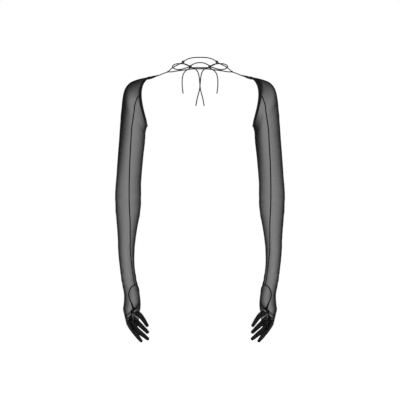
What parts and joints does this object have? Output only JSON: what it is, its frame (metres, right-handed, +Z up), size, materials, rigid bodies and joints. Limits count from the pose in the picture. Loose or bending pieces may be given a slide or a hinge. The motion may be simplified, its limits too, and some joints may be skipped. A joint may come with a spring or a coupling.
{
  "type": "opera gloves",
  "caption": "Pair of sheer mesh shoulder-length opera gloves with set-in thumbs, bound armholes and a thin cord that joins them round the neck and ties in a bow.",
  "frame": {"origin": "middle of the neck loop, level with the cord at the nape, where the wearer's neck holds the gloves up", "axes": "+Z up, -Y the way the wearer faces, +X towards the wearer's left hand"},
  "size_m": [0.4758, 0.1439, 0.7975],
  "materials": {
    "sheer_mesh": "matte sheer stretch mesh, black",
    "finger_mesh": "matte stretch mesh, black, less stretched and so denser",
    "seam_thread": "matte overlocked seam, black",
    "elastic_binding": "satin fold-over elastic, black",
    "neck_cord": "smooth elastic cord, black"
  },
  "bodies": {
    "neck_cords": {"nape_cord": "neck_cord", "front_cord": "neck_cord", "centre_loop": "neck_cord", "centre_bar": "neck_cord", "left_shoulder_cord": "neck_cord", "left_throat_cord": "neck_cord", "left_side_knot": "neck_cord", "left_tie_knot": "neck_cord", "left_fork_knot": "neck_cord", "left_bow_loop": "neck_cord", "left_outer_tail": "neck_cord", "left_inner_tail": "neck_cord", "right_shoulder_cord": "neck_cord", "right_throat_cord": "neck_cord", "right_side_knot": "neck_cord", "right_tie_knot": "neck_cord", "right_fork_knot": "neck_cord", "right_bow_loop": "neck_cord", "right_outer_tail": "neck_cord", "right_inner_tail": "neck_cord"},
    "left_upper_arm": {"left_upper_sleeve": "sheer_mesh", "left_armhole_binding": "elastic_binding", "left_shoulder_tab": "elastic_binding", "left_upper_seam": "seam_thread"},
    "left_forearm_part": {"left_forearm_sleeve": "sheer_mesh", "left_forearm_seam": "seam_thread"},
    "left_hand_part": {"left_hand": "sheer_mesh", "left_thumb_base": "sheer_mesh", "left_thumb_seam": "seam_thread"},
    "left_thumb_part": {"left_thumb": "finger_mesh"},
    "left_index_part": {"left_index_finger": "finger_mesh"},
    "left_middle_part": {"left_middle_finger": "finger_mesh"},
    "left_ring_part": {"left_ring_finger": "finger_mesh"},
    "left_little_part": {"left_little_finger": "finger_mesh"},
    "right_upper_arm": {"right_upper_sleeve": "sheer_mesh", "right_armhole_binding": "elastic_binding", "right_shoulder_tab": "elastic_binding", "right_upper_seam": "seam_thread"},
    "right_forearm_part": {"right_forearm_sleeve": "sheer_mesh", "right_forearm_seam": "seam_thread"},
    "right_hand_part": {"right_hand": "sheer_mesh", "right_thumb_base": "sheer_mesh", "right_thumb_seam": "seam_thread"},
    "right_thumb_part": {"right_thumb": "finger_mesh"},
    "right_index_part": {"right_index_finger": "finger_mesh"},
    "right_middle_part": {"right_middle_finger": "finger_mesh"},
    "right_ring_part": {"right_ring_finger": "finger_mesh"},
    "right_little_part": {"right_little_finger": "finger_mesh"}
  },
  "joints": [
    {"name": "left_shoulder_raise", "type": "hinge", "parent": "neck_cords", "child": "left_upper_arm", "pos_m": [0.122, 0, -0.055], "axis": [0, -1, 0], "range_deg": [-8, 75]},
    {"name": "left_elbow_bend", "type": "hinge", "parent": "left_upper_arm", "child": "left_forearm_part", "pos_m": [0.2015, -0.0388, -0.387], "axis": [-1, 0, 0], "range_deg": [0, 130]},
    {"name": "left_wrist_bend", "type": "hinge", "parent": "left_forearm_part", "child": "left_hand_part", "pos_m": [0.199, -0.011, -0.615], "axis": [0, 1, 0], "range_deg": [-45, 60]},
    {"name": "left_thumb_spread", "type": "hinge", "parent": "left_hand_part", "child": "left_thumb_part", "pos_m": [0.178, -0.0778, -0.70315], "axis": [-1, 0, 0], "range_deg": [-8, 40]},
    {"name": "left_index_curl", "type": "hinge", "parent": "left_hand_part", "child": "left_index_part", "pos_m": [0.19436, -0.046, -0.73155], "axis": [0, 1, 0], "range_deg": [-15, 60]},
    {"name": "left_middle_curl", "type": "hinge", "parent": "left_hand_part", "child": "left_middle_part", "pos_m": [0.1917, -0.026, -0.72555], "axis": [0, 1, 0], "range_deg": [-35, 60]},
    {"name": "left_ring_curl", "type": "hinge", "parent": "left_hand_part", "child": "left_ring_part", "pos_m": [0.19196, -0.006, -0.71955], "axis": [0, 1, 0], "range_deg": [-30, 60]},
    {"name": "left_little_curl", "type": "hinge", "parent": "left_hand_part", "child": "left_little_part", "pos_m": [0.19518, 0.013, -0.71385], "axis": [0, 1, 0], "range_deg": [-15, 60]},
    {"name": "right_shoulder_raise", "type": "hinge", "parent": "neck_cords", "child": "right_upper_arm", "pos_m": [-0.122, 0, -0.055], "axis": [0, 1, 0], "range_deg": [-8, 75]},
    {"name": "right_elbow_bend", "type": "hinge", "parent": "right_upper_arm", "child": "right_forearm_part", "pos_m": [-0.2015, -0.0388, -0.387], "axis": [-1, 0, 0], "range_deg": [0, 130]},
    {"name": "right_wrist_bend", "type": "hinge", "parent": "right_forearm_part", "child": "right_hand_part", "pos_m": [-0.199, -0.011, -0.615], "axis": [0, -1, 0], "range_deg": [-45, 60]},
    {"name": "right_thumb_spread", "type": "hinge", "parent": "right_hand_part", "child": "right_thumb_part", "pos_m": [-0.178, -0.0778, -0.70315], "axis": [-1, 0, 0], "range_deg": [-8, 40]},
    {"name": "right_index_curl", "type": "hinge", "parent": "right_hand_part", "child": "right_index_part", "pos_m": [-0.19436, -0.046, -0.73155], "axis": [0, -1, 0], "range_deg": [-15, 60]},
    {"name": "right_middle_curl", "type": "hinge", "parent": "right_hand_part", "child": "right_middle_part", "pos_m": [-0.1917, -0.026, -0.72555], "axis": [0, -1, 0], "range_deg": [-35, 60]},
    {"name": "right_ring_curl", "type": "hinge", "parent": "right_hand_part", "child": "right_ring_part", "pos_m": [-0.19196, -0.006, -0.71955], "axis": [0, -1, 0], "range_deg": [-30, 60]},
    {"name": "right_little_curl", "type": "hinge", "parent": "right_hand_part", "child": "right_little_part", "pos_m": [-0.19518, 0.013, -0.71385], "axis": [0, -1, 0], "range_deg": [-15, 60]}
  ]
}
